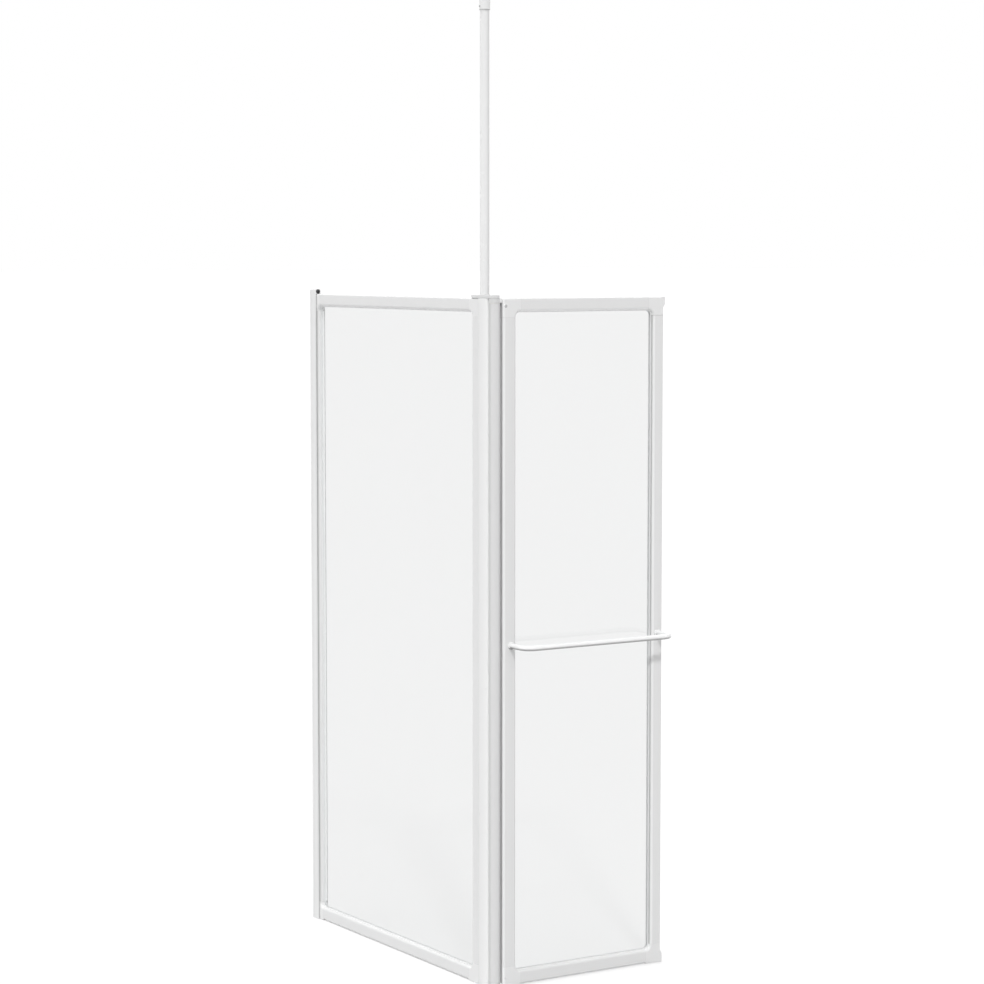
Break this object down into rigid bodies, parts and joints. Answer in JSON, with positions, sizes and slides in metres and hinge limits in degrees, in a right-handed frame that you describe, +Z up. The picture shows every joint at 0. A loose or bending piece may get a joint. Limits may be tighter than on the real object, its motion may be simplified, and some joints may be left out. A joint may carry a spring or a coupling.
{
  "type": "bath screen",
  "caption": "L-shaped over-bath screen: framed fixed panel in a wall channel, corner post with ceiling pole, hinged return panel with a towel rail.",
  "frame": {"origin": "foot of the wall channel's back face, in the fixed panel's mid plane, level with the bath rim", "axes": "+X from the wall along the fixed panel to the corner post, +Y along the return panel over the bath, +Z up"},
  "size_m": [0.8745, 0.467, 2.172],
  "materials": {
    "white_aluminium": "satin",
    "white_moulding": "satin",
    "clear_glass": "gloss",
    "grey_gasket": "matte",
    "grey_seal": "matte",
    "natural_nylon": "satin",
    "bright_steel": "satin",
    "black_screw": "matte"
  },
  "bodies": {
    "wall_side": {"wall_channel": "white_aluminium", "channel_top_block": "white_moulding", "channel_block_screw": "black_screw"},
    "fixed_screen": {"fixed_wall_stile": "white_aluminium", "fixed_post_stile": "white_aluminium", "fixed_top_rail": "white_aluminium", "fixed_bottom_rail": "white_aluminium", "fixed_corner_top_wall": "white_moulding", "fixed_corner_bottom_wall": "white_moulding", "fixed_corner_top_post": "white_moulding", "fixed_corner_bottom_post": "white_moulding", "fixed_pane": "clear_glass", "fixed_pane_gasket": "grey_gasket", "fixed_bottom_seal": "grey_seal", "corner_post": "white_aluminium", "post_tie_screws": "bright_steel", "post_top_cap": "white_moulding", "post_foot_cap": "white_moulding", "hinge_bushes": "natural_nylon", "ceiling_pole": "white_aluminium", "pole_collar": "white_moulding"},
    "return_panel": {"return_hinge_stile": "white_aluminium", "return_free_stile": "white_aluminium", "return_top_rail": "white_aluminium", "return_bottom_rail": "white_aluminium", "return_free_corner_top": "white_moulding", "return_free_corner_bottom": "white_moulding", "return_hinge_corner_top": "white_moulding", "return_hinge_corner_bottom": "white_moulding", "hinge_corner_screws": "bright_steel", "return_pane": "clear_glass", "return_pane_gasket": "grey_gasket", "return_bottom_seal": "grey_seal", "towel_rail": "white_aluminium", "rail_feet": "white_moulding", "rail_screws": "bright_steel", "hinge_pins": "bright_steel"},
    "ceiling_fixing": {"ceiling_socket": "white_aluminium", "ceiling_grub_screw": "bright_steel"}
  },
  "joints": [
    {"name": "wall_adjust", "type": "slide", "parent": "wall_side", "child": "fixed_screen", "axis": [1, 0, 0], "range_m": [-0.0008, 0.012]},
    {"name": "return_hinge", "type": "hinge", "parent": "fixed_screen", "child": "return_panel", "pos_m": [0.795, 0, 0.75], "axis": [0, 0, 1], "range_deg": [-180, 0]},
    {"name": "ceiling_socket_slide", "type": "slide", "parent": "fixed_screen", "child": "ceiling_fixing", "axis": [0, 0, 1], "range_m": [-0.02, 0.02]}
  ]
}
